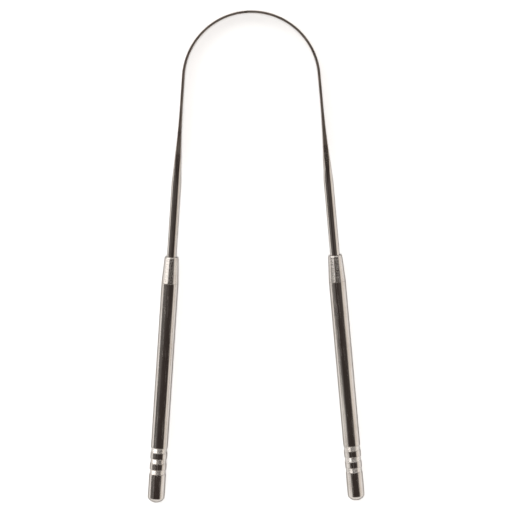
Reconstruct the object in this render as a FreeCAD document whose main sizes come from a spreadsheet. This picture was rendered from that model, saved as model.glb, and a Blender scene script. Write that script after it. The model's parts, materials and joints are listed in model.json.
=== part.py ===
import FreeCAD, Part
import math
import os
import re

import Sketcher

# Tongue scraper: a steel wire rolled flat and bent into a U, with a three-piece handle on each end.
# It lies flat: +Y runs to the crown of the bend, +X to the right seen from above, +Z up.

# Sizes that can be set, in mm and degrees.
SIZES = {
    # The loop, along one leg from the end of the bend
    "bend_radius": 20.3,
    "leg_splay": 4.55,
    "band_thickness": 0.7,
    "band_width": 5.0,
    "band_corner": 0.08,
    "flare_length": 32.5,
    "stem_length": 22.05,
    "wire_diameter": 2.8,
    "tang_setback": 0.5,
    "tang_chamfer": 0.3,
    # The handle, from its mouth to its tip
    "handle_diameter": 5.0,
    "ferrule_length": 8.0,
    "mouth_diameter": 4.1,
    "mouth_round": 0.4,
    "tube_length": 50.25,
    "tube_wall": 0.5,
    "seam_break": 0.08,
    "spigot_length": 7.0,
    "spigot_chamfer": 0.3,
    "groove_count": 3,
    "groove_width": 1.6,
    "groove_floor": 1.3,
    "groove_depth": 0.3,
    "groove_land": 1.7,
    "end_land": 7.3,
    "dome_height": 1.4,
    # The radial room left where one piece goes into another
    "fit_gap": 0.02,
}

# Lengths that follow from the sizes.
DERIVED = {
    "wire_radius": "wire_diameter / 2",
    "mouth_radius": "mouth_diameter / 2",
    "handle_radius": "handle_diameter / 2",
    "tube_bore": "handle_radius - tube_wall",
    "ferrule_bore": "wire_radius + fit_gap",
    "spigot_radius": "tube_bore - fit_gap",
    "spigot_tip": "spigot_radius - spigot_chamfer",
    "ferrule_total": "ferrule_length + spigot_length",
    "tang_length": "ferrule_total - tang_setback",
    "round_length": "stem_length + tang_length",
    "leg_length": "flare_length + stem_length",
    "groove_pitch": "groove_width + groove_land",
    "groove_run": "groove_pitch * (groove_count - 1)",
    "groove_radius": "handle_radius - groove_depth",
    "groove_wall": "(groove_width - groove_floor) / 2",
    "butt_side": "groove_run + groove_width + end_land",
    "butt_total": "butt_side + dome_height",
    "dome_radius": "(handle_radius ^ 2 + dome_height ^ 2) / (2 * dome_height)",
    "handle_length": "ferrule_length + tube_length + butt_total",
    "tip_drop": "(leg_length + handle_length - dome_radius) * cos(leg_splay)"
                " + dome_radius - bend_radius * sin(leg_splay)",
    "crown_rise": "bend_radius + band_thickness / 2",
    "bend_centre": "(tip_drop - crown_rise) / 2",
    "axis_height": "max(band_width; handle_diameter) / 2",
}

# The flare's sections: how far along it each stands, and how far it has gone from band to wire there.
FLARE_SHARES = (
    {"place": 0.0, "thickness": 0.0, "width": 0.0, "corner": 0.0},
    {"place": 0.15, "thickness": 0.005, "width": 0.02, "corner": 0.0},
    {"place": 0.3, "thickness": 0.02, "width": 0.06, "corner": 0.01},
    {"place": 0.5, "thickness": 0.14, "width": 0.22, "corner": 0.03},
    {"place": 0.65, "thickness": 0.35, "width": 0.46, "corner": 0.09},
    {"place": 0.75, "thickness": 0.54, "width": 0.67, "corner": 0.27},
    {"place": 0.84, "thickness": 0.72, "width": 0.84, "corner": 0.6},
    {"place": 0.92, "thickness": 0.87, "width": 0.95, "corner": 0.87},
)

# Every section of the loop has four flats, with a corner after each.
EDGE_COUNT = 8

SIDES = {"left": -1, "right": 1}

doc = FreeCAD.newDocument("tongue_scraper")
dims = doc.addObject("Spreadsheet::Sheet", "dims")


def fill_sheet():
    """Write every size and every derived length into the sheet, one named cell each."""
    cells = {name: str(size) for name, size in SIZES.items()}
    cells.update({name: f"={formula}" for name, formula in DERIVED.items()})
    for row, (name, text) in enumerate(cells.items(), start=1):
        dims.set(f"A{row}", name)
        dims.set(f"B{row}", text)
        dims.setAlias(f"B{row}", name)
    doc.recompute()


def bound(formula):
    """Point a formula's names, which all hold an underscore, at the sheet."""
    return re.sub(r"[a-z]+(_[a-z]+)+", r"dims.\g<0>", formula)


def number(formula):
    """Work out a formula now, to start a sketch near its solved shape."""
    return float(dims.evalExpression(bound(formula)))


def leg_point(along, side=1):
    """Give the x and y formulas of a point on a leg's axis, seen from the centre of the bend."""
    x = f"{side} * (bend_radius * cos(leg_splay) + ({along}) * sin(leg_splay))"
    y = f"bend_radius * sin(leg_splay) - ({along}) * cos(leg_splay)"
    return x, y


def origin_item(body, role):
    return next(item for item in body.Origin.OriginFeatures if item.Role == role)


def new_body(label):
    body = doc.addObject("PartDesign::Body", label)
    body.Label = label
    return body


def new_sketch(body, name, role, offset=None):
    """Start a sketch on an origin plane of the body, moved by a placement formula if one is given."""
    sketch = body.newObject("Sketcher::SketchObject", name)
    sketch.AttachmentSupport = [(origin_item(body, role), "")]
    sketch.MapMode = "FlatFace"
    if offset:
        sketch.setExpression("AttachmentOffset", bound(offset))
    return sketch


def dimension(sketch, kind, places, formula):
    """Add a dimension to a sketch and bind it to a formula."""
    index = sketch.addConstraint(Sketcher.Constraint(kind, *places, number(formula)))
    sketch.setExpression(f"Constraints[{index}]", bound(formula))


def fix_corner(sketch, edge, corner):
    """Hold the start of an edge at a corner given by two formulas, on an axis where one is zero."""
    for kind, axis, formula in (("DistanceX", -2, corner[0]), ("DistanceY", -1, corner[1])):
        if formula == "0":
            sketch.addConstraint(Sketcher.Constraint("PointOnObject", edge, 1, axis))
        else:
            dimension(sketch, kind, (edge, 1), formula)


def draw_profile(sketch, corners, dome=None):
    """Draw a closed outline through the corners. The edge that starts at corner `dome` is an arc
    that turns about the sketch's upright axis, and the others are straight."""
    points = [FreeCAD.Vector(number(x), number(y)) for x, y in corners]
    for edge, start in enumerate(points):
        end = points[(edge + 1) % len(points)]
        if edge == dome:
            radius = number("dome_radius")
            centre = FreeCAD.Vector(0, end.y - radius)
            circle = Part.Circle(centre, FreeCAD.Vector(0, 0, 1), radius)
            first = math.atan2(start.y - centre.y, start.x)
            sketch.addGeometry(Part.ArcOfCircle(circle, first, math.pi / 2))
        else:
            sketch.addGeometry(Part.LineSegment(start, end))
    for edge, corner in enumerate(corners):
        before = (edge - 1) % len(corners)
        sketch.addConstraint(Sketcher.Constraint("Coincident", before, 2, edge, 1))
        fix_corner(sketch, edge, corner)
    if dome is not None:
        sketch.addConstraint(Sketcher.Constraint("PointOnObject", dome, 3, -2))


def draw_flat_section(sketch, thickness, width, corner):
    """Draw the section of the rolled wire about the sketch's origin: four flats and four round corners,
    in turn, from the flat on the right."""
    radius = number(corner)
    inset_x = number(thickness) / 2 - radius
    inset_y = number(width) / 2 - radius
    centres = [FreeCAD.Vector(x * inset_x, y * inset_y) for x, y in ((1, 1), (-1, 1), (-1, -1), (1, -1))]
    quarter = math.pi / 2
    corners = []
    for turn, centre in enumerate(centres):
        circle = Part.Circle(centre, FreeCAD.Vector(0, 0, 1), radius)
        corners.append(Part.ArcOfCircle(circle, turn * quarter, (turn + 1) * quarter))
    for turn, arc in enumerate(corners):
        sketch.addGeometry(Part.LineSegment(corners[turn - 1].EndPoint, arc.StartPoint))
        sketch.addGeometry(arc)
    for edge in range(EDGE_COUNT):
        sketch.addConstraint(Sketcher.Constraint("Tangent", edge, 2, (edge + 1) % EDGE_COUNT, 1))
    for edge in range(3, EDGE_COUNT, 2):
        sketch.addConstraint(Sketcher.Constraint("Equal", 1, edge))
    for edge, lie in zip(range(0, EDGE_COUNT, 2), ("Vertical", "Horizontal") * 2):
        sketch.addConstraint(Sketcher.Constraint(lie, edge))
    sketch.addConstraint(Sketcher.Constraint("Symmetric", 1, 3, 5, 3, -1, 1))
    dimension(sketch, "Radius", (1,), corner)
    dimension(sketch, "DistanceX", (1, 3), f"({thickness}) / 2 - ({corner})")
    dimension(sketch, "DistanceY", (1, 3), f"({width}) / 2 - ({corner})")


def draw_round_section(sketch):
    """Draw the section of the round wire in as many arcs, which the flat section's edges run into."""
    circle = Part.Circle(FreeCAD.Vector(), FreeCAD.Vector(0, 0, 1), number("wire_radius"))
    starts = [(edge - 0.5) * 360 / EDGE_COUNT for edge in range(EDGE_COUNT + 1)]
    for first, last in zip(starts, starts[1:]):
        sketch.addGeometry(Part.ArcOfCircle(circle, math.radians(first), math.radians(last)))
    for edge in range(EDGE_COUNT):
        sketch.addConstraint(Sketcher.Constraint("Coincident", edge, 2, (edge + 1) % EDGE_COUNT, 1))
    for edge in range(EDGE_COUNT - 1):
        sketch.addConstraint(Sketcher.Constraint("Coincident", edge, 3, -1, 1))
    sketch.addConstraint(Sketcher.Constraint("Equal", 0, EDGE_COUNT - 1))
    dimension(sketch, "Radius", (0,), "wire_radius")
    for edge in range(EDGE_COUNT):
        dimension(sketch, "DistanceX", (edge, 1), f"wire_radius * cos({starts[edge]})")


def revolve(body, name, sketch, kind="PartDesign::Revolution"):
    """Turn a sketch all the way round its own upright axis."""
    turned = body.newObject(kind, name)
    turned.Profile = sketch
    turned.ReferenceAxis = (sketch, ["V_Axis"])
    turned.Angle = 360
    doc.recompute()
    return turned


def rim_edges(feature, radius, heights):
    """Name the circles of a radius that lie at the given heights on a body's upright axis."""
    names = []
    for index, edge in enumerate(feature.Shape.Edges, start=1):
        curve = edge.Curve
        if not isinstance(curve, Part.Circle) or abs(curve.Radius - number(radius)) > edge.Tolerance:
            continue
        if any(abs(curve.Center.z - number(height)) <= edge.Tolerance for height in heights):
            names.append(f"Edge{index}")
    return names


def make_loop():
    """Make the scraper loop: the flat bend, and on each leg the flare, the round stem and its tang."""
    body = new_body("scraper_loop")
    body.setExpression(
        "Placement", bound("placement(vector(0; bend_centre; axis_height); rotation(0; 0; 0))"))

    section = new_sketch(
        body, "bend_section", "YZ_Plane", "placement(vector(bend_radius; 0; 0); rotation(0; 0; 0))")
    draw_flat_section(section, "band_thickness", "band_width", "band_corner")
    bend = body.newObject("PartDesign::Revolution", "bend")
    bend.Profile = section
    bend.ReferenceAxis = (origin_item(body, "Z_Axis"), [""])
    bend.Midplane = True
    bend.setExpression("Angle", bound("180 - 2 * leg_splay"))
    doc.recompute()

    sections = []
    for index, shares in enumerate(FLARE_SHARES):
        sketch = new_flare_sketch(body, f"flare_section_{index}", f"flare_length * {shares['place']}")
        draw_flat_section(
            sketch,
            f"band_thickness + (wire_diameter - band_thickness) * {shares['thickness']}",
            f"band_width + (wire_diameter - band_width) * {shares['width']}",
            f"band_corner + (wire_radius - band_corner) * {shares['corner']}")
        sections.append(sketch)
    last = new_flare_sketch(body, "flare_end", "flare_length")
    draw_round_section(last)
    doc.recompute()
    flare = body.newObject("PartDesign::AdditiveLoft", "flare")
    flare.Profile = sections[0]
    flare.Sections = [*sections[1:], last]
    doc.recompute()

    x, y = leg_point("flare_length")
    outline = new_sketch(
        body, "stem_outline", "XY_Plane", f"placement(vector({x}; {y}; 0); rotation(leg_splay; 0; 0))")
    draw_profile(outline, (
        ("0", "0"),
        ("0", "-round_length"),
        ("wire_radius - tang_chamfer", "-round_length"),
        ("wire_radius", "tang_chamfer - round_length"),
        ("wire_radius", "0"),
    ))
    stem = revolve(body, "stem", outline)

    both = body.newObject("PartDesign::Mirrored", "both_legs")
    both.Originals = [flare, stem]
    both.MirrorPlane = (origin_item(body, "YZ_Plane"), [""])
    body.Tip = both
    doc.recompute()
    return body


def new_flare_sketch(body, name, along):
    """Start a sketch square to the right leg's axis, at a distance along it."""
    x, y = leg_point(along)
    return new_sketch(
        body, name, "XZ_Plane", f"placement(vector({x}; 0; -({y})); rotation(0; leg_splay; 0))")


def handle_body(side, name, along):
    """Start a handle piece whose upright axis runs down the leg, from a distance along that leg."""
    body = new_body(f"{side}_{name}")
    x, y = leg_point(along, SIDES[side])
    body.setExpression("Placement", bound(
        f"placement(vector({x}; bend_centre + {y}; axis_height);"
        f" rotation({SIDES[side]} * leg_splay; 0; 90))"))
    return body


def make_ferrule(side):
    """Make the tapered collar: the wire passes through it, and its spigot goes into the tube."""
    body = handle_body(side, "ferrule", "leg_length")
    outline = new_sketch(body, f"{side}_ferrule_outline", "XZ_Plane")
    draw_profile(outline, (
        ("ferrule_bore", "0"),
        ("mouth_radius", "0"),
        ("handle_radius", "ferrule_length"),
        ("spigot_radius", "ferrule_length"),
        ("spigot_radius", "ferrule_total - spigot_chamfer"),
        ("spigot_tip", "ferrule_total"),
        ("ferrule_bore", "ferrule_total"),
    ))
    turned = revolve(body, f"{side}_ferrule_turned", outline)
    mouth = body.newObject("PartDesign::Fillet", f"{side}_ferrule_mouth")
    mouth.Base = (turned, rim_edges(turned, "mouth_radius", ("0",)))
    mouth.setExpression("Radius", bound("mouth_round"))
    doc.recompute()
    return body


def make_tube(side):
    """Make the plain grip tube, with the edges of both ends broken."""
    body = handle_body(side, "grip_tube", "leg_length + ferrule_length")
    rings = new_sketch(body, f"{side}_tube_rings", "XY_Plane")
    for index, radius in enumerate(("handle_radius", "tube_bore")):
        rings.addGeometry(Part.Circle(FreeCAD.Vector(), FreeCAD.Vector(0, 0, 1), number(radius)))
        rings.addConstraint(Sketcher.Constraint("Coincident", index, 3, -1, 1))
        dimension(rings, "Radius", (index,), radius)
    drawn = body.newObject("PartDesign::Pad", f"{side}_tube_drawn")
    drawn.Profile = rings
    drawn.setExpression("Length", bound("tube_length"))
    doc.recompute()
    seams = body.newObject("PartDesign::Chamfer", f"{side}_tube_seams")
    seams.Base = (drawn, rim_edges(drawn, "handle_radius", ("0", "tube_length")))
    seams.setExpression("Size", bound("seam_break"))
    doc.recompute()
    return body


def make_butt(side):
    """Make the domed butt: its spigot goes into the tube, and ring grooves run round its side."""
    body = handle_body(side, "end_butt", "leg_length + ferrule_length + tube_length")
    outline = new_sketch(body, f"{side}_butt_outline", "XZ_Plane")
    draw_profile(outline, (
        ("0", "-spigot_length"),
        ("spigot_tip", "-spigot_length"),
        ("spigot_radius", "spigot_chamfer - spigot_length"),
        ("spigot_radius", "0"),
        ("handle_radius", "0"),
        ("handle_radius", "butt_side"),
        ("0", "butt_total"),
    ), dome=5)
    revolve(body, f"{side}_butt_turned", outline)
    cut = new_sketch(body, f"{side}_groove_outline", "XZ_Plane")
    draw_profile(cut, (
        ("groove_radius", "groove_wall"),
        ("handle_radius", "0"),
        ("handle_radius + groove_depth", "0"),
        ("handle_radius + groove_depth", "groove_width"),
        ("handle_radius", "groove_width"),
        ("groove_radius", "groove_wall + groove_floor"),
    ))
    groove = revolve(body, f"{side}_groove", cut, "PartDesign::Groove")
    rings = body.newObject("PartDesign::LinearPattern", f"{side}_grooves")
    rings.Originals = [groove]
    rings.Direction = (origin_item(body, "Z_Axis"), [""])
    rings.setExpression("Length", bound("groove_run"))
    rings.setExpression("Occurrences", bound("groove_count"))
    body.Tip = rings
    doc.recompute()
    return body


def check_document(nodes):
    """Stop if any object failed, or if a piece is not one valid solid."""
    for item in doc.Objects:
        if {"Invalid", "Error"} & set(item.State):
            raise RuntimeError(f"{item.Name} failed: {item.State}")
    for node in nodes:
        shape = node.Shape
        if shape.isNull() or not shape.isValid() or len(shape.Solids) != 1:
            raise RuntimeError(f"{node.Label} is not one valid solid")


def export(nodes):
    os.makedirs("parts", exist_ok=True)
    for node in nodes:
        node.Shape.exportStep(f"parts/{node.Label}.step")
        box = node.Shape.BoundBox
        print(f"{node.Label}: volume {node.Shape.Volume:.2f}, x {box.XMin:.3f} {box.XMax:.3f},"
              f" y {box.YMin:.3f} {box.YMax:.3f}, z {box.ZMin:.3f} {box.ZMax:.3f}")


fill_sheet()
pieces = [make_loop()]
for hand in SIDES:
    pieces += [make_ferrule(hand), make_tube(hand), make_butt(hand)]
doc.recompute()
check_document(pieces)
export(pieces)
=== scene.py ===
"""Looks of a steel tongue scraper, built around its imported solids.

Metres throughout. The scraper lies on the floor: +Y runs to the crown of the bend, +X to the right
seen from above, +Z up.
"""

import json
import logging
import math
from dataclasses import dataclass
from enum import Enum

import bpy
from mathutils import Euler, Matrix, Vector

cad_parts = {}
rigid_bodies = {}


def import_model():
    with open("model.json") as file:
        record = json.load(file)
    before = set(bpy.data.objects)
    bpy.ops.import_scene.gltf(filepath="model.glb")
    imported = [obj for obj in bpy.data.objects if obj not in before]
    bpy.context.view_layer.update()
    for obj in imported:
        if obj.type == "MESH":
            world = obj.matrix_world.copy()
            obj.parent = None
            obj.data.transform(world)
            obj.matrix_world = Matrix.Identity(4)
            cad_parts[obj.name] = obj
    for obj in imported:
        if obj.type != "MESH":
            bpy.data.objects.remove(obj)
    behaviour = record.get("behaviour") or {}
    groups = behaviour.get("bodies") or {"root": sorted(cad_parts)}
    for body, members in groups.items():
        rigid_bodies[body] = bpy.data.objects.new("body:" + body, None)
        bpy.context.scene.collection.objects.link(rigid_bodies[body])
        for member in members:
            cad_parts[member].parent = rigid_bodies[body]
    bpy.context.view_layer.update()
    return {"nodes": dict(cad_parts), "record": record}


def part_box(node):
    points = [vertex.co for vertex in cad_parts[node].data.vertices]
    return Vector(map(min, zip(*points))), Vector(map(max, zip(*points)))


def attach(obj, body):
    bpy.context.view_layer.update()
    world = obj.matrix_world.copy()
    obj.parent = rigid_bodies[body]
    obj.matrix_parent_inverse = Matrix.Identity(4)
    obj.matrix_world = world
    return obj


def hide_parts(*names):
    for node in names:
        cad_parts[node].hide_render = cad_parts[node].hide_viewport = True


log = logging.getLogger("tongue_scraper")

for start_object in list(bpy.data.objects):
    bpy.data.objects.remove(start_object)
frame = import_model()

MM = 0.001
# How far the drawn surfaces keep inside the solids.
SHY = 0.001 * MM
WIRE_RADIUS = 1.4 * MM
BODY = "root"
QUARTER_TURN = math.pi / 2
GRAIN = "grain"
WORKED = "worked"

Colour = tuple[float, float, float]
Socket = bpy.types.NodeSocket
Input = Socket | bpy.types.ID | float | int | bool | str | tuple | Vector


class Side(Enum):
    """The two legs, seen from above."""

    LEFT = "left"
    RIGHT = "right"


class Board:
    """Adds nodes to one tree and joins them.

    Args:
        tree: The tree that the nodes go into.
    """

    def __init__(self, tree: bpy.types.NodeTree) -> None:
        self.tree = tree

    @classmethod
    def fresh(cls, owner: bpy.types.Material | bpy.types.World) -> "Board":
        """Start the tree of a material or of the world anew.

        Args:
            owner: What the tree belongs to.

        Returns:
            The board of its empty tree.
        """
        owner.use_nodes = True
        owner.node_tree.nodes.clear()
        return cls(owner.node_tree)

    def put(self, socket: Socket, value: Input) -> None:
        """Join a socket to another one, or set its value.

        Args:
            socket: The socket that takes the value.
            value: Another node's output, or a constant.
        """
        if isinstance(value, Socket):
            self.tree.links.new(value, socket)
        else:
            socket.default_value = value

    def add(self, kind: str, inputs: dict[str | int, Input] | None = None,
            **settings: Input) -> bpy.types.Node:
        """Add a node.

        Args:
            kind: The node's type.
            inputs: What its sockets take, by name or number.
            settings: The node's own options.

        Returns:
            The new node.
        """
        node = self.tree.nodes.new(kind)
        for name, setting in settings.items():
            setattr(node, name, setting)
        for key, value in (inputs or {}).items():
            self.put(node.inputs[key], value)
        return node

    def math(self, operation: str, *values: Input) -> Socket:
        """Add one step of arithmetic.

        Args:
            operation: The step's name.
            values: Its numbers, in order.

        Returns:
            The result's socket.
        """
        return self.add("ShaderNodeMath", dict(enumerate(values)), operation=operation).outputs[0]

    def ramp(self, value: Input, start: Input, end: Input, first: Input = 0.0, last: Input = 1.0,
             smooth: bool = False) -> Socket:
        """Carry a value from one range to another and hold it there.

        Args:
            value: The value.
            start: Where the range starts.
            end: Where the range ends.
            first: The result at the start.
            last: The result at the end.
            smooth: Whether the result eases in and out.

        Returns:
            The result's socket.
        """
        easing = "SMOOTHSTEP" if smooth else "LINEAR"
        inputs = dict(enumerate((value, start, end, first, last)))
        return self.add("ShaderNodeMapRange", inputs, interpolation_type=easing).outputs[0]

    def vector(self, x: Input = 0.0, y: Input = 0.0, z: Input = 0.0) -> Socket:
        """Join three numbers into a vector."""
        return self.add("ShaderNodeCombineXYZ", {"X": x, "Y": y, "Z": z}).outputs[0]

    def parts(self, vector: Input) -> list[Socket]:
        """Split a vector into its three numbers."""
        return list(self.add("ShaderNodeSeparateXYZ", {0: vector}).outputs)

    def blend(self, share: Input, first: Input, second: Input) -> Socket:
        """Mix two numbers.

        Args:
            share: How much of the second number there is.
            first: The first number.
            second: The second number.

        Returns:
            The number's socket.
        """
        return self.add("ShaderNodeMix", {0: share, 2: first, 3: second}, data_type="FLOAT").outputs[0]

    def mix(self, share: Input, first: Input, second: Input) -> Socket:
        """Mix two colours.

        Args:
            share: How much of the second colour there is.
            first: The first colour.
            second: The second colour.

        Returns:
            The colour's socket.
        """
        return self.add("ShaderNodeMix", {0: share, 6: first, 7: second}, data_type="RGBA").outputs[2]


def new_group(name: str, kind: str, inputs: dict[str, str],
              outputs: dict[str, str]) -> tuple[Board, dict[str, Socket], bpy.types.Node]:
    """Start a node group.

    Args:
        name: The group's name.
        kind: GeometryNodeTree or ShaderNodeTree.
        inputs: The type of each named input.
        outputs: The type of each named output.

    Returns:
        The group's board, its inputs by name, and the node that takes its outputs.
    """
    tree = bpy.data.node_groups.new(name, kind)
    for way, sockets in (("INPUT", inputs), ("OUTPUT", outputs)):
        for label, socket_kind in sockets.items():
            tree.interface.new_socket(label, in_out=way, socket_type=f"NodeSocket{socket_kind}")
    board = Board(tree)
    given = {socket.name: socket for socket in board.add("NodeGroupInput").outputs}
    return board, given, board.add("NodeGroupOutput")


@dataclass(frozen=True)
class Leg:
    """The straight line that one leg of the loop and its handle share.

    Attributes:
        side: The side it is on.
        middle: The middle of its grip.
        heading: Its direction, towards the handle's tip.
        handle_radius: The radius of its grip.
    """

    side: Side
    middle: Vector
    heading: Vector
    handle_radius: float

    @classmethod
    def from_record(cls, record: dict, side: Side) -> "Leg":
        """Find a leg from the mount on its grip.

        Args:
            record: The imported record.
            side: The leg's side.

        Returns:
            The leg.
        """
        mount = next(item for item in record["mounts"] if item["name"] == f"{side.value}_grip")
        radius = mount["dims"]["r_mm"] * MM - SHY
        return cls(side, Vector(mount["pos_m"]), Vector(mount["axis"]).normalized(), radius)

    @property
    def splay(self) -> float:
        """The angle by which the leg leans outwards."""
        return math.asin(abs(self.heading.x))

    @property
    def turn(self) -> Euler:
        """The turn that lays an upright axis along the leg."""
        return self.heading.to_track_quat("Z", "Y").to_euler()

    def place(self, point: Vector) -> float:
        """How far along the leg a point is, from the middle of the grip."""
        return (point - self.middle).dot(self.heading)

    def point(self, along: float) -> Vector:
        """The point at a distance along the leg."""
        return self.middle + self.heading * along

    def span(self, node: str) -> tuple[float, float]:
        """Measure where a solid starts and ends along the leg.

        Args:
            node: The solid's name.

        Returns:
            Its first and last place along the leg.
        """
        places = [self.place(vertex.co) for vertex in frame["nodes"][node].data.vertices]
        return min(places), max(places)


@dataclass(frozen=True)
class SteelFinish:
    """One finish of the steel.

    Attributes:
        name: The material's name.
        slot: The record's slot that it is meant to fill; not used.
        colour: The clean metal.
        film: The colour that handling leaves on it.
        roughness: The roughness of the polished metal.
        haze: What the duller streaks add to the roughness.
        worked_colour_and_sheen: The metal where the marks of the tool or the rolls are left; where it is
            lighter than the clean metal, as in the butt's grooves, it is a painted sheen.
        worked_roughness: The roughness there.
        lines_across: Polishing lines per metre round the piece.
        lines_along: Breaks in those lines per metre.
        line_depth: How deep the polishing lines are.
        rings_along: Turning marks per metre.
        ring_depth: How deep the turning marks are.
        feed_depth: How far each turning mark falls towards the handle's tip.
        smudge: How much the film dulls the metal.
        scratch_depth: How deep the hairline scratches are.
    """

    name: str
    slot: str
    colour: Colour
    film: Colour
    roughness: float
    haze: float
    worked_colour_and_sheen: Colour
    worked_roughness: float
    lines_across: float
    lines_along: float
    line_depth: float
    rings_along: float
    ring_depth: float
    feed_depth: float
    smudge: float
    scratch_depth: float


class Finish(Enum):
    """The finishes of the scraper's pieces."""

    LOOP = SteelFinish(
        name="rolled_wire_steel", slot="loop_steel", colour=(0.60, 0.57, 0.54), film=(0.50, 0.46, 0.42),
        roughness=0.06, haze=0.1, worked_colour_and_sheen=(0.50, 0.43, 0.38), worked_roughness=0.27,
        lines_across=6000.0, lines_along=110.0, line_depth=0.08, rings_along=2000.0, ring_depth=0.0,
        feed_depth=0.0, smudge=0.05, scratch_depth=0.03)
    FERRULE = SteelFinish(
        name="turned_ferrule_steel", slot="ferrule_steel", colour=(0.64, 0.61, 0.58),
        film=(0.54, 0.50, 0.46),
        roughness=0.12, haze=0.2, worked_colour_and_sheen=(0.64, 0.61, 0.58), worked_roughness=0.10,
        lines_across=6000.0, lines_along=300.0, line_depth=0.1, rings_along=12000.0, ring_depth=0.8,
        feed_depth=0.7, smudge=0.08, scratch_depth=0.10)
    TUBE = SteelFinish(
        name="polished_tube_steel", slot="tube_steel", colour=(0.63, 0.60, 0.57), film=(0.52, 0.48, 0.44),
        roughness=0.08, haze=0.2, worked_colour_and_sheen=(0.63, 0.60, 0.57), worked_roughness=0.2,
        lines_across=4000.0, lines_along=90.0, line_depth=0.12, rings_along=9000.0, ring_depth=0.2,
        feed_depth=0.0, smudge=0.08, scratch_depth=0.12)
    # The butt's worked colour is lighter than its clean metal: a painted sheen in the grooves, over their
    # real turning marks.
    BUTT = SteelFinish(
        name="grooved_butt_steel", slot="butt_steel", colour=(0.64, 0.61, 0.58), film=(0.52, 0.48, 0.44),
        roughness=0.09, haze=0.2, worked_colour_and_sheen=(0.80, 0.77, 0.74), worked_roughness=0.19,
        lines_across=4000.0, lines_along=110.0, line_depth=0.12, rings_along=12000.0, ring_depth=0.3,
        feed_depth=2.0, smudge=0.08, scratch_depth=0.12)


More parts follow.
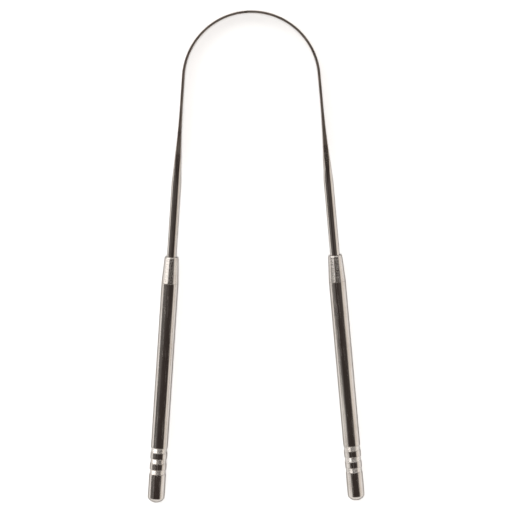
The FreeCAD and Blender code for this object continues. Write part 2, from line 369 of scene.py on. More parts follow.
class FinishShop:
    """Makes the steel's materials from shared node groups."""

    # How much of its light the steel throws back at a grazing angle.
    EDGE_TINT: Colour = (0.04, 0.035, 0.03)
    # How much the handling film and the polishing lines tint the metal.
    FILM_TINT = 0.5
    LINE_TINT = 0.35
    # What the turning marks add to the roughness of worked metal.
    RING_HAZE = 0.1
    # The height that the depths are shares of, and the width in pixels over which its slope is read.
    RELIEF = 0.01 * MM
    RELIEF_FILTER = 0.02
    # How coarse the broad tones are beside the lines and the rings themselves.
    BROAD_LINES = 0.3
    BROAD_RINGS = 0.12
    # Patches of film per metre, and the turn and the number per metre of the scratches.
    FILM_PATCHES = 160.0
    SCRATCH_TURN = (0.2, 0.1, 0.35)
    SCRATCH_SCALE = (5200.0, 160.0, 5200.0)
    # The stretch of a noise over which each trace goes from none to full.
    TONE_SPAN = (0.3, 0.7)
    STREAK_SPAN = (0.52, 0.68)
    FILM_SPAN = (0.42, 0.68)
    SCRATCH_SPAN = (0.68, 0.76)

    def __init__(self) -> None:
        self.lines = self.make_lines()
        self.rings = self.make_rings()
        self.marks = self.make_marks()
        self.made: dict[str, bpy.types.Material] = {}

    def make_lines(self) -> bpy.types.NodeTree:
        """Make the polishing lines, which run along a piece.

        Returns:
            The group.
        """
        board, given, out = new_group(
            "polishing_lines", "ShaderNodeTree",
            {"Grain": "Vector", "Across": "Float", "Along": "Float"},
            {"Height": "Float", "Tone": "Float", "Streak": "Float"})
        x, y, z = board.parts(given["Grain"])
        across = given["Across"]
        fine = board.vector(
            board.math("MULTIPLY", x, across), board.math("MULTIPLY", y, across),
            board.math("MULTIPLY", z, given["Along"]))
        noise = board.add(
            "ShaderNodeTexNoise", {"Vector": fine, "Scale": 1.0, "Detail": 3.0, "Roughness": 0.6})
        broad = board.add(
            "ShaderNodeTexNoise", {"Vector": fine, "Scale": self.BROAD_LINES, "Detail": 2.0})
        board.put(out.inputs["Height"], noise.outputs[0])
        board.put(out.inputs["Tone"], board.ramp(broad.outputs[0], *self.TONE_SPAN))
        board.put(out.inputs["Streak"], board.ramp(noise.outputs[0], *self.STREAK_SPAN))
        return board.tree

    def make_rings(self) -> bpy.types.NodeTree:
        """Make the turning marks, which run round a piece.

        Returns:
            The group.
        """
        board, given, out = new_group(
            "turning_marks", "ShaderNodeTree", {"Grain": "Vector", "Along": "Float"},
            {"Height": "Float", "Feed": "Float", "Tone": "Float"})
        place = board.math("MULTIPLY", board.parts(given["Grain"])[2], given["Along"])
        noise = board.add(
            "ShaderNodeTexNoise", {"W": place, "Scale": 1.0, "Detail": 2.0, "Roughness": 0.55},
            noise_dimensions="1D")
        broad = board.add(
            "ShaderNodeTexNoise", {"W": place, "Scale": self.BROAD_RINGS, "Detail": 1.0},
            noise_dimensions="1D")
        board.put(out.inputs["Height"], noise.outputs[0])
        board.put(out.inputs["Feed"], board.math("SUBTRACT", 1.0, board.math("FRACT", place)))
        board.put(out.inputs["Tone"], board.ramp(broad.outputs[0], *self.TONE_SPAN))
        return board.tree

    def make_marks(self) -> bpy.types.NodeTree:
        """Make the traces of handling: a patchy film and a few hairline scratches.

        Returns:
            The group.
        """
        board, given, out = new_group(
            "handling_marks", "ShaderNodeTree", {"Place": "Vector"}, {"Film": "Float", "Scratch": "Float"})
        cloud = board.add(
            "ShaderNodeTexNoise",
            {"Vector": given["Place"], "Scale": self.FILM_PATCHES, "Detail": 4.0, "Distortion": 0.6})
        board.put(out.inputs["Film"], board.ramp(cloud.outputs[0], *self.FILM_SPAN, smooth=True))
        slant = board.add(
            "ShaderNodeMapping",
            {"Vector": given["Place"], "Rotation": self.SCRATCH_TURN, "Scale": self.SCRATCH_SCALE})
        hair = board.add("ShaderNodeTexNoise", {"Vector": slant.outputs[0], "Scale": 1.0, "Detail": 1.0})
        board.put(out.inputs["Scratch"], board.ramp(hair.outputs[0], *self.SCRATCH_SPAN))
        return board.tree

    def material(self, finish: SteelFinish) -> bpy.types.Material:
        """Give the material of a finish, and make it the first time.

        Args:
            finish: The finish.

        Returns:
            The material.
        """
        if finish.name not in self.made:
            self.made[finish.name] = self.make_material(finish)
        return self.made[finish.name]

    def make_material(self, finish: SteelFinish) -> bpy.types.Material:
        """Make the material of a finish.

        Args:
            finish: The finish.

        Returns:
            The material.
        """
        made = bpy.data.materials.new(finish.name)
        board = Board.fresh(made)
        grain = board.add("ShaderNodeAttribute", attribute_name=GRAIN).outputs["Vector"]
        worked = board.add("ShaderNodeAttribute", attribute_name=WORKED).outputs["Fac"]
        place = board.add("ShaderNodeTexCoord").outputs["Object"]
        lines = board.add(
            "ShaderNodeGroup",
            {"Grain": grain, "Across": finish.lines_across, "Along": finish.lines_along},
            node_tree=self.lines)
        rings = board.add(
            "ShaderNodeGroup", {"Grain": grain, "Along": finish.rings_along}, node_tree=self.rings)
        marks = board.add("ShaderNodeGroup", {"Place": place}, node_tree=self.marks)

        # Worked metal takes its own colour; on the butt that colour is lighter, a painted sheen in the
        # grooves.
        clean = board.mix(worked, (*finish.colour, 1.0), (*finish.worked_colour_and_sheen, 1.0))
        film = board.math("MULTIPLY", marks.outputs["Film"], self.FILM_TINT)
        tone = board.math("MULTIPLY_ADD", lines.outputs["Tone"], self.LINE_TINT, film)
        colour = board.mix(tone, clean, (*finish.film, 1.0))

        dull = board.math("MULTIPLY", marks.outputs["Film"], finish.smudge)
        streak = board.math("MULTIPLY", lines.outputs["Streak"], finish.haze)
        polished = board.math("ADD", board.math("ADD", dull, streak), finish.roughness)
        satin = board.math(
            "MULTIPLY_ADD", rings.outputs["Tone"], self.RING_HAZE, finish.worked_roughness)
        roughness = board.blend(worked, polished, satin)

        line = board.math("MULTIPLY", lines.outputs["Height"], finish.line_depth)
        feed = board.math("MULTIPLY", rings.outputs["Feed"], finish.feed_depth)
        ring = board.math("MULTIPLY_ADD", rings.outputs["Height"], finish.ring_depth, feed)
        relief = board.blend(worked, line, ring)
        scratch = board.math("MULTIPLY", marks.outputs["Scratch"], finish.scratch_depth)
        height = board.math("SUBTRACT", relief, scratch)
        bump = board.add("ShaderNodeBump", {
            "Strength": 1.0, "Distance": self.RELIEF, "Filter Width": self.RELIEF_FILTER,
            "Height": height})

        steel = board.add("ShaderNodeBsdfPrincipled", {
            "Base Color": colour, "Metallic": 1.0, "Roughness": roughness,
            "Specular Tint": (*self.EDGE_TINT, 1.0), "Normal": bump.outputs[0]})
        board.add("ShaderNodeOutputMaterial", {"Surface": steel.outputs[0]})
        return made


def new_object(name: str, data: bpy.types.ID) -> bpy.types.Object:
    """Put a new object into the scene.

    Args:
        name: The object's name.
        data: Its mesh, lamp or camera.

    Returns:
        The object.
    """
    made = bpy.data.objects.new(name, data)
    bpy.context.scene.collection.objects.link(made)
    return made


def shape_by_tree(name: str, tree: bpy.types.NodeTree, mesh: bpy.types.Mesh,
                  inputs: dict[str, Input]) -> bpy.types.Object:
    """Run a geometry tree and keep its result as a plain mesh.

    Args:
        name: The piece's name.
        tree: The geometry tree.
        mesh: The mesh that the tree starts from.
        inputs: The tree's inputs by name.

    Returns:
        The finished piece, at the origin.
    """
    piece = new_object(name, mesh)
    shaping = piece.modifiers.new("shape", "NODES")
    shaping.node_group = tree
    for item in tree.interface.items_tree:
        if item.item_type == "SOCKET" and item.in_out == "INPUT" and item.name in inputs:
            shaping[item.identifier] = inputs[item.name]
    depsgraph = bpy.context.evaluated_depsgraph_get()
    made = bpy.data.meshes.new_from_object(
        piece.evaluated_get(depsgraph), preserve_all_data_layers=True, depsgraph=depsgraph)
    piece.modifiers.remove(shaping)
    piece.data = made
    made.name = name
    bpy.data.meshes.remove(mesh)
    return piece


def seat(piece: bpy.types.Object, node: str) -> None:
    """Let a piece ride on the frame in place of its solid.

    Args:
        piece: The piece.
        node: The solid that it stands for.
    """
    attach(piece, BODY)
    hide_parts(node)
    log.info("%s stands for %s: %d faces", piece.name, node, len(piece.data.polygons))


def close_surface(board: Board, surface: Socket, given: dict[str, Socket],
                  out: bpy.types.Node) -> None:
    """End a tree: weld the seam and the poles, smooth the shading and set the material.

    Args:
        board: The tree's board.
        surface: The open surface.
        given: The tree's inputs, with Weld, Crease and Material among them.
        out: The tree's output node.
    """
    welded = board.add("GeometryNodeMergeByDistance", {"Geometry": surface, "Distance": given["Weld"]})
    smooth = board.add("GeometryNodeSetShadeSmooth", {"Geometry": welded.outputs[0]})
    bend = board.add("GeometryNodeInputMeshEdgeAngle").outputs["Unsigned Angle"]
    crease = board.add(
        "GeometryNodeSetShadeSmooth",
        {"Geometry": smooth.outputs[0], "Selection": board.math("GREATER_THAN", bend, given["Crease"]),
         "Shade Smooth": False}, domain="EDGE")
    plain = board.add("GeometryNodeRealizeInstances", {"Geometry": crease.outputs[0]})
    dressed = board.add(
        "GeometryNodeSetMaterial", {"Geometry": plain.outputs[0], "Material": given["Material"]})
    board.put(out.inputs["Geometry"], dressed.outputs[0])


def store(board: Board, geometry: Socket, name: str, value: Socket, kind: str) -> Socket:
    """Keep a value on the points of a surface.

    Args:
        board: The tree's board.
        geometry: The surface.
        name: The attribute's name.
        value: The value.
        kind: The attribute's type.

    Returns:
        The surface with the attribute.
    """
    return board.add(
        "GeometryNodeStoreNamedAttribute", {"Geometry": geometry, "Name": name, "Value": value},
        data_type=kind, domain="POINT").outputs[0]


def grid_places(board: Board, columns: Socket) -> tuple[Socket, Socket]:
    """Give each point of a grid its row and its column.

    Args:
        board: The tree's board.
        columns: How many points a row has.

    Returns:
        The row's and the column's numbers.
    """
    index = board.add("GeometryNodeInputIndex").outputs[0]
    row = board.math("FLOOR", board.math("DIVIDE", board.math("ADD", index, 0.5), columns))
    return row, board.math("SUBTRACT", index, board.math("MULTIPLY", row, columns))


@dataclass(frozen=True)
class Corner:
    """One corner of a turned outline.

    Attributes:
        radius: Its distance from the axis.
        along: Its place on the axis.
        rounding: The radius that breaks it.
        worked: Whether the run that starts here keeps its turning marks.
    """

    radius: float
    along: float
    rounding: float = 0.0
    worked: bool = False

    @property
    def point(self) -> Vector:
        """The corner as a flat vector."""
        return Vector((self.radius, self.along))


@dataclass(frozen=True)
class Outline:
    """A turned piece's outline, from which its lathe surface is made.

    Attributes:
        corners: The corners in order, with the metal on the right of the way along them.
        closed: Whether the last corner joins the first.
        arc_steps: How many steps round a corner.
        settle: How far from a round corner the flat run is held flat.
        longest_run: The longest step along a straight run.
    """

    corners: tuple[Corner, ...]
    closed: bool
    arc_steps: int = 6
    settle: float = 0.08 * MM
    longest_run: float = 1.5 * MM

    def neighbours(self, index: int) -> tuple[Vector, Vector]:
        """The points before and after a corner."""
        last = len(self.corners) - 1
        before = self.corners[index - 1 if index or self.closed else 0]
        after = self.corners[(index + 1) % len(self.corners) if index < last or self.closed else last]
        return before.point, after.point

    def round_corner(self, index: int) -> list[Vector]:
        """Round one corner.

        Args:
            index: The corner's number.

        Returns:
            The points of its arc, or the corner alone.
        """
        corner = self.corners[index]
        before, after = self.neighbours(index)
        if not corner.rounding:
            return [corner.point]
        way_in = (corner.point - before).normalized()
        way_out = (after - corner.point).normalized()
        bend = way_in.angle_signed(way_out)
        reach = corner.rounding * math.tan(abs(bend) / 2)
        start = corner.point - way_in * reach
        centre = start + way_in.orthogonal() * math.copysign(corner.rounding, -bend)
        spoke = start - centre
        turns = [-bend * step / self.arc_steps for step in range(self.arc_steps + 1)]
        return [centre + Matrix.Rotation(turn, 2) @ spoke for turn in turns]

    def run(self, start: Vector, end: Vector) -> list[Vector]:
        """Divide a straight run.

        Args:
            start: Where the run starts.
            end: Where the run ends.

        Returns:
            The points between its ends.
        """
        length = (end - start).length
        if length < 3 * self.settle:
            return []
        inner = length - 2 * self.settle
        steps = max(1, math.ceil(inner / self.longest_run))
        return [start.lerp(end, (self.settle + inner * step / steps) / length) for step in range(steps + 1)]

    def mesh(self, name: str) -> bpy.types.Mesh:
        """Draw the outline as loose points in order.

        Args:
            name: The mesh's name.

        Returns:
            The mesh, with the worked stretches marked.
        """
        arcs = [self.round_corner(index) for index in range(len(self.corners))]
        points: list[Vector] = []
        marks: list[float] = []
        for index, arc in enumerate(arcs):
            half = len(arc) // 2
            points += arc
            marks += [float(self.corners[index - 1].worked)] * half
            marks += [float(self.corners[index].worked)] * (len(arc) - half)
            if index + 1 < len(arcs) or self.closed:
                between = self.run(arc[-1], arcs[(index + 1) % len(arcs)][0])
                points += between
                marks += [float(self.corners[index].worked)] * len(between)
        mesh = bpy.data.meshes.new(name)
        mesh.from_pydata([(point.x, 0.0, point.y) for point in points], [], [])
        mesh.attributes.new(WORKED, "FLOAT", "POINT").data.foreach_set("value", marks)
        return mesh


class Lathe:
    """Turns an outline round a leg's axis with one geometry tree."""

    SEGMENTS = 128
    WELD = 0.0005 * MM
    CREASE = math.radians(50)

    def __init__(self) -> None:
        self.tree = self.make_tree()

    def make_tree(self) -> bpy.types.NodeTree:
        """Make the tree that sweeps the outline's points round the axis.

        Returns:
            The tree.
        """
        board, given, out = new_group(
            "turned_on_a_lathe", "GeometryNodeTree",
            {"Outline": "Geometry", "Segments": "Int", "Closing Rows": "Int", "Start": "Vector",
             "Turn": "Rotation", "Weld": "Float", "Crease": "Float", "Material": "Material"},
            {"Geometry": "Geometry"})
        outline = given["Outline"]
        count = board.add("GeometryNodeAttributeDomainSize", {0: outline}, component="MESH").outputs[0]
        columns = board.math("ADD", given["Segments"], 1.0)
        grid = board.add("GeometryNodeMeshGrid", {
            "Vertices X": board.math("ADD", count, given["Closing Rows"]), "Vertices Y": columns})
        row, column = grid_places(board, columns)
        source = board.math("MODULO", row, count)
        point = board.add("GeometryNodeInputPosition").outputs[0]
        mark = board.add("GeometryNodeInputNamedAttribute", {"Name": WORKED}, data_type="FLOAT").outputs[0]
        corner, worked = (
            board.add("GeometryNodeSampleIndex", {"Geometry": outline, "Index": source, "Value": value},
                      data_type=kind).outputs[0]
            for value, kind in ((point, "FLOAT_VECTOR"), (mark, "FLOAT")))

        radius, _, along = board.parts(corner)
        angle = board.math("MULTIPLY", board.math("DIVIDE", column, given["Segments"]), math.tau)
        swept = board.vector(
            board.math("MULTIPLY", radius, board.math("COSINE", angle)),
            board.math("MULTIPLY", radius, board.math("SINE", angle)), along)
        moved = board.add("GeometryNodeSetPosition", {"Geometry": grid.outputs[0], "Position": swept})
        surface = store(board, moved.outputs[0], GRAIN, swept, "FLOAT_VECTOR")
        surface = store(board, surface, WORKED, worked, "FLOAT")
        laid = board.add(
            "GeometryNodeTransform",
            {"Geometry": surface, "Translation": given["Start"], "Rotation": given["Turn"]})
        close_surface(board, laid.outputs[0], given, out)
        return board.tree

    def turn(self, name: str, outline: Outline, leg: Leg, start: float,
             material: bpy.types.Material) -> bpy.types.Object:
        """Turn one piece.

        Args:
            name: The piece's name.
            outline: Its outline.
            leg: The leg that it lies on.
            start: Where the outline's zero lies along the leg.
            material: Its finish.

        Returns:
            The piece.
        """
        return shape_by_tree(name, self.tree, outline.mesh(f"{name}_outline"), {
            "Segments": self.SEGMENTS, "Closing Rows": int(outline.closed), "Start": leg.point(start),
            "Turn": leg.turn, "Weld": self.WELD, "Crease": self.CREASE, "Material": material})


@dataclass
class ScraperLoop:
    """The wire, rolled flat at the bend and round where it enters the handles.

    Attributes:
        leg: The right leg's line.
        band_corner: The radius of the band's corners.
        flare_length: The length over which the band turns into round wire.
        wire_radius: The radius of the round wire.
        rows: Points along the wire.
        columns: Points round the wire, a multiple of eight.
    """

    leg: Leg
    band_corner: float = 0.08 * MM
    flare_length: float = 32.5 * MM
    wire_radius: float = WIRE_RADIUS
    rows: int = 420
    columns: int = 64

    NODE = "scraper_loop"
    # Four flats and the corner after each make the section.
    EDGES = 8.0
    # Where along the flare the marks of the rolls fade out.
    ROLLED_SPAN = (0.6, 1.0)
    # How far the wire has gone from band to round at each place of the flare.
    FLARE_SHARES = (
        {"place": 0.15, "thickness": 0.005, "width": 0.02, "corner": 0.0},
        {"place": 0.3, "thickness": 0.02, "width": 0.06, "corner": 0.01},
        {"place": 0.5, "thickness": 0.14, "width": 0.22, "corner": 0.03},
        {"place": 0.65, "thickness": 0.35, "width": 0.46, "corner": 0.09},
        {"place": 0.75, "thickness": 0.54, "width": 0.67, "corner": 0.27},
        {"place": 0.84, "thickness": 0.72, "width": 0.84, "corner": 0.6},
        {"place": 0.92, "thickness": 0.87, "width": 0.95, "corner": 0.87},
    )

    def measure(self) -> dict[str, Input]:
        """Work out the loop's main sizes from the frame.

        Returns:
            The rolled wire tree's inputs.
        """
        low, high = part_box(self.NODE)
        mounts = {item["name"]: item for item in frame["record"]["mounts"]}
        inner_crown = mounts["hanging_bend"]["pos_m"][1]
        crown = (inner_crown + high.y) / 2
        splay = self.leg.splay
        side_reach = self.leg.middle.x * math.cos(splay) + self.leg.middle.y * math.sin(splay)
        centre = (crown - side_reach) / (1 - math.sin(splay))
        radius = crown - centre
        leg_start = Vector((radius * math.cos(splay), centre + radius * math.sin(splay), self.leg.middle.z))
        leg_length = self.leg.span(self.NODE)[1] - self.leg.place(leg_start)
        return {
            "Centre": Vector((0.0, centre, self.leg.middle.z)),
            "Bend Radius": radius,
            "Splay": splay,
            "Half Length": radius * (QUARTER_TURN - splay) + leg_length,
            "Band Thickness": high.y - inner_crown - 2 * SHY,
            "Band Width": high.z - low.z - 2 * SHY,
        }

    def flare_curve(self, board: Board, place: Socket, size: str) -> Socket:
        """Follow one size's share along the flare.

        Args:
            board: The tree's board.
            place: The place along the flare, from 0 to 1.
            size: Which size of the section.

        Returns:
            The share's socket.
        """
        node = board.add("ShaderNodeFloatCurve", {"Value": place})
        for shares in self.FLARE_SHARES:
            node.mapping.curves[0].points.new(shares["place"], shares[size])
        node.mapping.update()
        return node.outputs[0]

    def make_section(self, board: Board, given: dict[str, Socket], column: Socket,
                     place: Socket) -> tuple[Socket, ...]:
        """Make the wire's section: four flats with a round corner after each, which open into a circle.

        Args:
            board: The tree's board.
            given: The tree's inputs.
            column: The point's number round the section.
            place: The place along the flare, from 0 to 1.

        Returns:
            The point's distances across the band and along its width, and how far the wire is rolled.
        """
        def blend(first: Input, last: Input, share: Socket) -> Socket:
            """Go from one size to another by a share."""
            return board.ramp(share, 0.0, 1.0, first, last)

        def side_share(centre: float) -> Socket:
            """Go from -1 to 1 and back over the eight edges, highest about one of them."""
            past = board.math(
                "WRAP", board.math("SUBTRACT", edge, centre), self.EDGES / 2, -self.EDGES / 2)
            away = board.math("ABSOLUTE", past)
            flat = board.ramp(away, 1.5, 2.5, QUARTER_TURN, -QUARTER_TURN)
            return board.math("SINE", flat)

        rounded = self.flare_curve(board, place, "corner")
        corner = blend(given["Band Corner"], given["Wire Radius"], rounded)
        half_thickness = blend(
            board.math("DIVIDE", given["Band Thickness"], 2.0), given["Wire Radius"],
            self.flare_curve(board, place, "thickness"))
        half_width = blend(
            board.math("DIVIDE", given["Band Width"], 2.0), given["Wire Radius"],
            self.flare_curve(board, place, "width"))

        edge = board.math("MULTIPLY", board.math("DIVIDE", column, given["Columns"]), self.EDGES)
        pair = board.math("FLOOR", board.math("DIVIDE", edge, 2.0))
        within = board.math("SUBTRACT", edge, board.math("MULTIPLY", pair, 2.0))
        crown = board.math("MULTIPLY", rounded, QUARTER_TURN / 4)
        on_flat = board.ramp(within, 0.0, 1.0, board.math("MULTIPLY", crown, -1.0), crown)
        on_corner = board.ramp(
            within, 1.0, 2.0, 0.0, board.math("MULTIPLY_ADD", crown, -2.0, QUARTER_TURN))
        angle = board.math(
            "ADD", board.math("MULTIPLY", pair, QUARTER_TURN), board.math("ADD", on_flat, on_corner))

        def reach(half: Socket, side: Socket, turn: str) -> Socket:
            """Add the corner's arc to the place of its centre."""
            centre = board.math("MULTIPLY", board.math("SUBTRACT", half, corner), side)
            return board.math("ADD", centre, board.math("MULTIPLY", corner, board.math(turn, angle)))

        across = reach(half_thickness, side_share(0.5), "COSINE")
        up = reach(half_width, side_share(2.5), "SINE")
        rolled = board.ramp(place, *self.ROLLED_SPAN, 1.0, 0.0, smooth=True)
        return across, up, rolled

    def make_tree(self) -> bpy.types.NodeTree:
        """Make the tree that lays the section along the bend and both legs.

        Returns:
            The tree.
        """
        board, given, out = new_group(
            "rolled_wire", "GeometryNodeTree",
            {"Rows": "Int", "Columns": "Int", "Centre": "Vector", "Bend Radius": "Float", "Splay": "Float",
             "Half Length": "Float", "Flare Length": "Float", "Band Thickness": "Float",
             "Band Width": "Float", "Band Corner": "Float", "Wire Radius": "Float", "Weld": "Float",
             "Crease": "Float", "Material": "Material"},
            {"Geometry": "Geometry"})
        columns = board.math("ADD", given["Columns"], 1.0)
        grid = board.add("GeometryNodeMeshGrid", {"Vertices X": given["Rows"], "Vertices Y": columns})
        row, column = grid_places(board, columns)
        last = board.math("SUBTRACT", given["Rows"], 2.0)
        held = board.math("MINIMUM", board.math("MAXIMUM", row, 1.0), last)
        body = board.math("COMPARE", row, held, 0.5)
        half = given["Half Length"]
        run = board.ramp(held, 1.0, last, board.math("MULTIPLY", half, -1.0), half)
        side = board.math("SIGN", run)
        away = board.math("ABSOLUTE", run)

        radius, splay = given["Bend Radius"], given["Splay"]
        full_bend = board.math("SUBTRACT", QUARTER_TURN, splay)
        bend = board.math("MINIMUM", board.math("DIVIDE", away, radius), full_bend)
        past_bend = board.math("SUBTRACT", away, board.math("MULTIPLY", radius, full_bend))
        down = board.math("MAXIMUM", past_bend, 0.0)
        place = board.ramp(down, 0.0, given["Flare Length"])
        across, up, rolled = self.make_section(board, given, column, place)
        across = board.math("MULTIPLY", across, body)
        up = board.math("MULTIPLY", up, body)

        out_from_centre = board.math("ADD", radius, across)
        x = board.math(
            "MULTIPLY_ADD", board.math("SINE", bend), out_from_centre,
            board.math("MULTIPLY", down, board.math("SINE", splay)))
        y = board.math(
            "SUBTRACT", board.math("MULTIPLY", board.math("COSINE", bend), out_from_centre),
            board.math("MULTIPLY", down, board.math("COSINE", splay)))
        offset = board.vector(board.math("MULTIPLY", x, side), y, up)
        point = board.add("ShaderNodeVectorMath", {0: offset, 1: given["Centre"]}, operation="ADD")
        moved = board.add(
            "GeometryNodeSetPosition", {"Geometry": grid.outputs[0], "Position": point.outputs[0]})
        surface = store(board, moved.outputs[0], GRAIN, board.vector(across, up, run), "FLOAT_VECTOR")
        surface = store(board, surface, WORKED, rolled, "FLOAT")
        close_surface(board, surface, given, out)
        return board.tree

    def build(self, material: bpy.types.Material) -> bpy.types.Object:
        """Make the loop's mesh.

        Args:
            material: Its finish.

        Returns:
            The loop.
        """
        inputs = self.measure()
        inputs.update({
            "Rows": self.rows, "Columns": self.columns, "Flare Length": self.flare_length,
            "Band Corner": self.band_corner, "Wire Radius": self.wire_radius, "Weld": Lathe.WELD,
            "Crease": Lathe.CREASE, "Material": material})
        start = bpy.data.meshes.new("wire_start")
        return shape_by_tree("rolled_wire_loop", self.make_tree(), start, inputs)

    def dress(self, shop: FinishShop) -> None:
        """Build the loop in its finish and seat it on the frame.

        Args:
            shop: The maker of finishes.
        """
        finish = Finish.LOOP.value
        seat(self.build(shop.material(finish)), self.NODE)


@dataclass
class Handle:
    """One handle: a turned ferrule, a polished tube and a grooved butt in a row.

    Attributes:
        leg: The line that the handle lies on.
        fit_gap: The room where one piece goes into another.
        wire_radius: The radius of the wire in the ferrule.
        mouth_radius: The ferrule's radius at its mouth.
        mouth_rounding: The rounding of the mouth's rim.
        tube_wall: The tube's wall.
        seam_break: The broken edge of the tube's ends.
        spigot_chamfer: The chamfer on the spigots' ends.
        groove_count: How many grooves the butt has.
        groove_width: A groove's width at the surface.
        groove_floor: A groove's width at its floor.
        groove_depth: A groove's depth.
        groove_land: The land between two grooves.
        dome_height: The height of the dome on the tip.
        dome_steps: Steps from the dome's rim to its pole.
        edge_rounding: The rounding of small edges.
        rim_rounding: The rounding of the dome's rim.
        tip_clearance: How far the dome's tip keeps inside the solid.
    """

    leg: Leg
    fit_gap: float = 0.02 * MM
    wire_radius: float = WIRE_RADIUS
    mouth_radius: float = 2.05 * MM
    mouth_rounding: float = 0.4 * MM
    tube_wall: float = 0.5 * MM
    seam_break: float = 0.08 * MM
    spigot_chamfer: float = 0.3 * MM
    groove_count: int = 3
    groove_width: float = 1.6 * MM
    groove_floor: float = 1.3 * MM
    groove_depth: float = 0.2 * MM
    groove_land: float = 1.7 * MM
    dome_height: float = 1.4 * MM
    dome_steps: int = 24
    edge_rounding: float = 0.04 * MM
    rim_rounding: float = 0.2 * MM
    tip_clearance: float = 0.005 * MM

    def node(self, piece: str) -> str:
        """The name of this side's solid for a piece."""
        return f"{self.leg.side.value}_{piece}"

    @property
    def tube_bore(self) -> float:
        """The radius of the tube's bore."""
        return self.leg.handle_radius - self.tube_wall

    def ferrule_outline(self) -> tuple[Outline, float]:
        """Draw the ferrule, from its mouth to the end of its spigot.

        Returns:
            The outline and its start along the leg.
        """
        mouth, end = self.leg.span(self.node("ferrule"))
        seam = self.leg.span(self.node("grip_tube"))[0] - mouth
        total = end - mouth
        bore = self.wire_radius + self.fit_gap
        spigot = self.tube_bore - self.fit_gap
        edge = self.edge_rounding
        return Outline((
            Corner(bore, 0.0, edge, True),
            Corner(self.mouth_radius, 0.0, self.mouth_rounding, True),
            Corner(self.leg.handle_radius, seam, edge, True),
            Corner(spigot, seam, edge),
            Corner(spigot, total - self.spigot_chamfer, edge),
            Corner(spigot - self.spigot_chamfer, total, edge),
            Corner(bore, total, edge),
        ), closed=True), mouth

    def tube_outline(self) -> tuple[Outline, float]:
        """Draw the tube with its broken edges.

        Returns:
            The outline and its start along the leg.
        """
        start, end = self.leg.span(self.node("grip_tube"))
        length = end - start
        outside = self.leg.handle_radius
        broken = outside - self.seam_break
        edge = self.edge_rounding
        return Outline((
            Corner(self.tube_bore, 0.0, edge),
            Corner(broken, 0.0, edge),
            Corner(outside, self.seam_break, edge),
            Corner(outside, length - self.seam_break, edge),
            Corner(broken, length, edge),
            Corner(self.tube_bore, length, edge),
        ), closed=True), start

    def groove_corners(self, start: float) -> list[Corner]:
        """Draw one groove.

        Args:
            start: Where the groove starts.

        Returns:
            Its corners.
        """
        outside = self.leg.handle_radius
        floor = outside - self.groove_depth
        wall = (self.groove_width - self.groove_floor) / 2
        return [
            Corner(outside, start, self.edge_rounding, True),
            Corner(floor, start + wall, self.edge_rounding, True),
            Corner(floor, start + wall + self.groove_floor, self.edge_rounding, True),
            Corner(outside, start + self.groove_width, self.edge_rounding),
        ]

    def butt_outline(self) -> tuple[Outline, float]:
        """Draw the butt, from its spigot past the grooves to the dome.

        Returns:
            The outline and its start along the leg.
        """
        first, tip = self.leg.span(self.node("end_butt"))
        seam = self.leg.span(self.node("grip_tube"))[1]
        spigot_end, total = first - seam, tip - seam - self.tip_clearance
        spigot = self.tube_bore - self.fit_gap
        outside = self.leg.handle_radius
        edge = self.edge_rounding
        corners = [
            Corner(0.0, spigot_end),
            Corner(spigot - self.spigot_chamfer, spigot_end, edge),
            Corner(spigot, spigot_end + self.spigot_chamfer, edge),
            Corner(spigot, 0.0, edge),
        ]
        for groove in range(self.groove_count):
            corners += self.groove_corners(groove * (self.groove_width + self.groove_land))
        dome_radius = (outside ** 2 + self.dome_height ** 2) / (2 * self.dome_height)
        half_angle = math.asin(outside / dome_radius)
        corners.append(Corner(outside, total - self.dome_height, self.rim_rounding))
        for step in range(2, self.dome_steps + 1):
            angle = half_angle * (1 - step / self.dome_steps)
            corners.append(Corner(
                dome_radius * math.sin(angle), total - dome_radius * (1 - math.cos(angle))))
        return Outline(tuple(corners), closed=False), seam

    def build(self, lathe: Lathe, word: str, plan: tuple[Outline, float],
              material: bpy.types.Material) -> bpy.types.Object:
        """Turn one piece of the handle.

        Args:
            lathe: The lathe that turns it.
            word: The piece's name without its side.
            plan: Its outline and where that starts along the leg.
            material: Its finish.

        Returns:
            The piece.
        """
        outline, start = plan
        return lathe.turn(f"{self.leg.side.value}_{word}", outline, self.leg, start, material)

    def dress(self, lathe: Lathe, shop: FinishShop) -> None:
        """Build the three pieces in their finishes and seat them on the frame.

        Args:
            lathe: The lathe that turns them.
            shop: The maker of finishes.
        """
        plans = (
            ("ferrule", "turned_ferrule", self.ferrule_outline(), Finish.FERRULE.value),
            ("grip_tube", "polished_tube", self.tube_outline(), Finish.TUBE.value),
            ("end_butt", "grooved_butt", self.butt_outline(), Finish.BUTT.value),
        )
        for node, word, plan, finish in plans:
            seat(self.build(lathe, word, plan, shop.material(finish)), self.node(node))


@dataclass(frozen=True)
class SoftPanel:
    """A soft-edged panel of light or shade round the table, as the steel sees it.

    Angles are in degrees. A tilt turns about the Y axis, from +X over the zenith to -X, and an angle along
    goes from the plane across the handles towards +Y.

    Attributes:
        name: What it stands for.
        tilt: The tilt of its middle.
        half_tilt: Half its height.
        tilt_fade: Half the angle over which its upper edge fades.
        along: The angle of its middle along the handles.
        half_along: Half its length.
        along_fade: Half the angle over which its ends fade.
        colour: Its light.
    """

    name: str
    tilt: float
    half_tilt: float
    tilt_fade: float
    along: float
    half_along: float
    along_fade: float
    colour: Colour

    def cover(self, board: Board, tilt: Socket, along: Socket) -> Socket:
        """Work out how much of a direction the panel fills.

        Args:
            board: The world's board.
            tilt: The direction's tilt.
            along: The direction's angle along the handles.

        Returns:
            The share's socket.
        """
        shares = []
        spans = (
            (tilt, self.tilt, self.half_tilt, self.tilt_fade),
            (along, self.along, self.half_along, self.along_fade),
        )
        for angle, middle, half, fade in spans:
            away = board.math("ABSOLUTE", board.math("SUBTRACT", angle, middle))
            shares.append(board.ramp(away, half + fade, half - fade, smooth=True))
        return board.math("MULTIPLY", *shares)


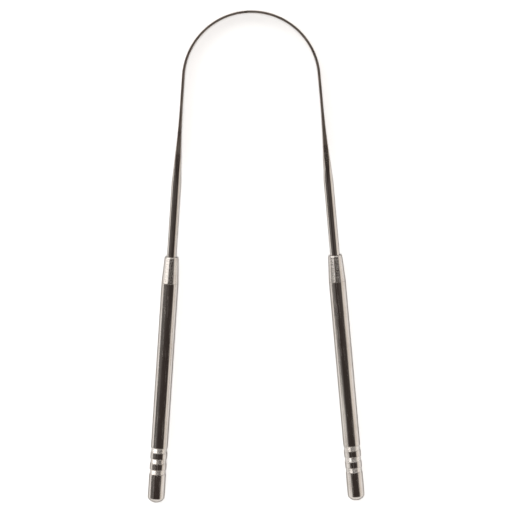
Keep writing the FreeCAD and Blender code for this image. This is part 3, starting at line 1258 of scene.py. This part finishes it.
@dataclass
class Studio:
    """The floor, the light and the camera.

    Attributes:
        floor_half: Half the floor's width.
        floor_colour: The floor's colour.
        sun_from: The way to the soft overhead light.
        sun_strength: Its strength.
        sun_angle: Its width in the sky.
        ceiling_colour: The dim ceiling.
        wall_colour: The walls.
        wall_top: The height of the walls' upper edge, as an angle.
        wall_fade: The angle over which the walls fade into the ceiling.
        panels: Soft lights and shades in front of the walls, from back to front.
        camera_place: Where the camera stands.
        camera_aim: The point that it looks at.
        camera_roll: Its turn about its own line of sight.
        half_frame: The tangent of half the picture's width.
    """

    floor_half: float = 6.0
    floor_colour: Colour = (0.9, 0.9, 0.9)
    sun_from: tuple[float, float, float] = (0.0, 0.0, 1.0)
    sun_strength: float = 2.1
    sun_angle: float = math.radians(12)
    ceiling_colour: Colour = (0.054, 0.043, 0.039)
    wall_colour: Colour = (0.56, 0.53, 0.50)
    wall_top: float = math.radians(26)
    wall_fade: float = math.radians(16)
    panels: tuple[SoftPanel, ...] = (
        SoftPanel("ceiling patch", 90.0, 40.0, 20.0, -4.2, 1.9, 0.4, (0.115, 0.1, 0.093)),
        SoftPanel("far wall", 90.0, 90.0, 1.0, 90.0, 25.0, 4.0, (0.12, 0.11, 0.10)),
        SoftPanel("far top light", 90.0, 42.0, 8.0, 42.0, 22.0, 3.0, (1.2, 1.17, 1.14)),
        SoftPanel("near wall", 90.0, 90.0, 1.0, -90.0, 60.0, 5.0, (0.82, 0.79, 0.76)),
        SoftPanel("right light", 0.0, 27.0, 11.0, -10.0, 50.0, 4.0, (1.06, 0.99, 0.92)),
        SoftPanel("right tall light", 0.0, 39.0, 11.0, 16.0, 24.0, 3.0, (1.06, 0.99, 0.92)),
        SoftPanel("left near light", 180.0, 36.0, 14.0, -33.6, 20.0, 0.5, (1.08, 1.05, 1.02)),
        SoftPanel("left far light", 180.0, 60.0, 4.0, 33.0, 25.0, 0.8, (2.3, 2.24, 2.18)),
        SoftPanel("left shade", 180.0, 50.0, 12.0, -2.8, 10.8, 0.5, (0.18, 0.166, 0.16)),
    )
    camera_place: tuple[float, float, float] = (0.002, 0.076, 0.72)
    camera_aim: tuple[float, float, float] = (0.0008, 0.00074, 0.0025)
    camera_roll: float = -0.0115
    half_frame: float = 0.10665

    def build_floor(self) -> None:
        """Lay the floor."""
        half = self.floor_half
        mesh = bpy.data.meshes.new("floor")
        corners = [(-half, -half, 0), (half, -half, 0), (half, half, 0), (-half, half, 0)]
        mesh.from_pydata(corners, [], [(0, 1, 2, 3)])
        floor = new_object("floor", mesh)
        paint = bpy.data.materials.new("pale_floor")
        board = Board.fresh(paint)
        matt = board.add("ShaderNodeBsdfDiffuse", {"Color": (*self.floor_colour, 1.0)})
        board.add("ShaderNodeOutputMaterial", {"Surface": matt.outputs[0]})
        mesh.materials.append(paint)

    def build_sun(self) -> None:
        """Hang the soft light that fills the floor."""
        lamp = bpy.data.lights.new("soft_light", "SUN")
        lamp.energy = self.sun_strength
        lamp.angle = self.sun_angle
        sun = new_object("soft_light", lamp)
        sun.rotation_euler = Vector(self.sun_from).to_track_quat("Z", "Y").to_euler()
        sun.visible_glossy = False

    def build_walls(self) -> None:
        """Paint the room as the steel reflects it: ceiling, walls and the panels before them."""
        world = bpy.data.worlds.new("studio")
        board = Board.fresh(world)
        x, y, z = board.parts(board.add("ShaderNodeTexCoord").outputs["Generated"])
        height = board.math("ARCSINE", z)
        tilt = board.math("DEGREES", board.math("ARCTAN2", z, x))
        along = board.math("DEGREES", board.math("ARCSINE", y))
        above = board.ramp(
            height, self.wall_top - self.wall_fade / 2, self.wall_top + self.wall_fade / 2, smooth=True)
        colour = board.mix(above, (*self.wall_colour, 1.0), (*self.ceiling_colour, 1.0))
        for panel in self.panels:
            colour = board.mix(panel.cover(board, tilt, along), colour, (*panel.colour, 1.0))
            colour.node.label = panel.name
        light = board.add("ShaderNodeBackground", {"Color": colour, "Strength": 1.0})
        board.add("ShaderNodeOutputWorld", {"Surface": light.outputs[0]})
        bpy.context.scene.world = world

    def build_camera(self) -> None:
        """Stand the camera at the photograph's angle."""
        lens = bpy.data.cameras.new("camera")
        lens.lens = lens.sensor_width / 2 / self.half_frame
        camera = new_object("camera", lens)
        place = Vector(self.camera_place)
        back = (place - Vector(self.camera_aim)).normalized()
        right = Vector((0.0, 1.0, 0.0)).cross(back).normalized()
        look = Matrix((right, back.cross(right), back)).transposed().to_4x4()
        camera.matrix_world = Matrix.Translation(place) @ look @ Matrix.Rotation(self.camera_roll, 4, "Z")
        bpy.context.scene.camera = camera

    def build(self) -> None:
        """Set up the whole studio."""
        self.build_floor()
        self.build_sun()
        self.build_walls()
        self.build_camera()
        bpy.context.scene.view_settings.view_transform = "Standard"


def main() -> None:
    """Build the scraper and its studio."""
    logging.basicConfig(level=logging.INFO, format="%(message)s")
    legs = {side: Leg.from_record(frame["record"], side) for side in Side}
    shop = FinishShop()
    lathe = Lathe()
    ScraperLoop(legs[Side.RIGHT]).dress(shop)
    for leg in legs.values():
        Handle(leg).dress(lathe, shop)
    Studio().build()


if __name__ == "__main__":
    main()
